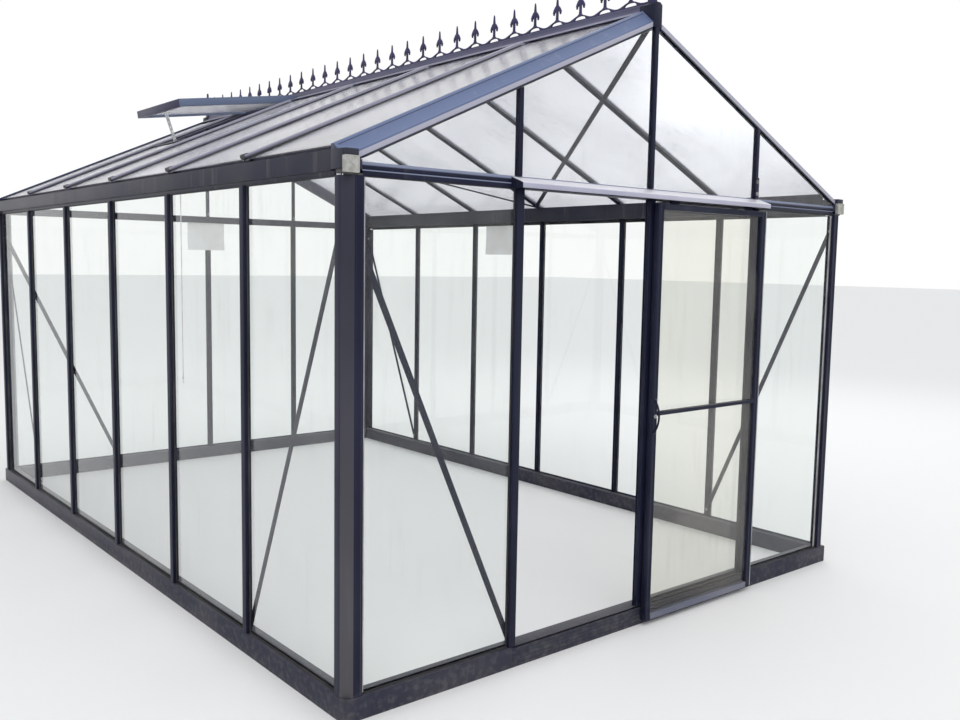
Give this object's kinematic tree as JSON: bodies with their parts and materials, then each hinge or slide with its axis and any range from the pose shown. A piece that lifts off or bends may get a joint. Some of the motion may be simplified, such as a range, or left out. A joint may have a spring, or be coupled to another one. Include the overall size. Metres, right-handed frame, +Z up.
{
  "type": "glass greenhouse",
  "caption": "Walk-in glass greenhouse with a ridged roof, a sliding door, an open roof vent with pull cord, eave gutters and a pierced ridge cresting",
  "frame": {"origin": "middle of the footprint at ground level, under the middle of the overall box", "axes": "+X to the right along the front with the door, +Y from the front towards the rear along the ridge, +Z up"},
  "size_m": [3.012, 4.5555, 2.8245],
  "materials": {
    "frame_paint": "satin powder coat",
    "glass": "clear toughened glass",
    "cap_plastic": "moulded, slightly weathered",
    "pale_paint": "satin powder coat",
    "bare_aluminium": "mill finish",
    "cord_white": "braided",
    "roller_nylon": "turned nylon",
    "axle_steel": "zinc plated"
  },
  "bodies": {
    "frame": {"base_rails_ends": "frame_paint", "base_rails_sides": "frame_paint", "corner_posts": "frame_paint", "door_threshold": "frame_paint", "door_track_back": "frame_paint", "door_track_end_caps": "frame_paint", "door_track_nose": "frame_paint", "door_track_shelf": "frame_paint", "door_track_top": "frame_paint", "eave_corner_blocks": "frame_paint", "eave_gutters": "frame_paint", "end_wall_glass": "glass", "end_wall_posts": "frame_paint", "end_wall_sills": "frame_paint", "gable_glass": "glass", "gable_posts": "frame_paint", "gutter_end_caps": "cap_plastic", "ridge_beam": "frame_paint", "ridge_cresting": "frame_paint", "ridge_end_caps": "frame_paint", "ridge_end_finials": "frame_paint", "roof_bars": "frame_paint", "roof_braces": "frame_paint", "roof_glass": "glass", "side_wall_glass": "glass", "side_wall_posts": "frame_paint", "side_wall_sills": "frame_paint", "tie_beams": "frame_paint", "vent_cord": "cord_white", "vent_cord_clip": "frame_paint", "vent_cord_knot": "cord_white", "vent_frame": "frame_paint", "vent_glass": "glass", "vent_sill_bar": "frame_paint", "vent_stay": "bare_aluminium", "verge_rafters": "frame_paint", "wall_braces": "frame_paint"},
    "door": {"door_axles": "axle_steel", "door_bottom_rail": "pale_paint", "door_glass": "glass", "door_handle": "frame_paint", "door_hangers": "frame_paint", "door_lock": "frame_paint", "door_rails": "frame_paint", "door_rollers": "roller_nylon", "door_stiles": "frame_paint"}
  },
  "joints": [
    {"name": "door_slide", "type": "slide", "parent": "frame", "child": "door", "axis": [1, 0, 0], "range_m": [-0.757, 0]}
  ]
}
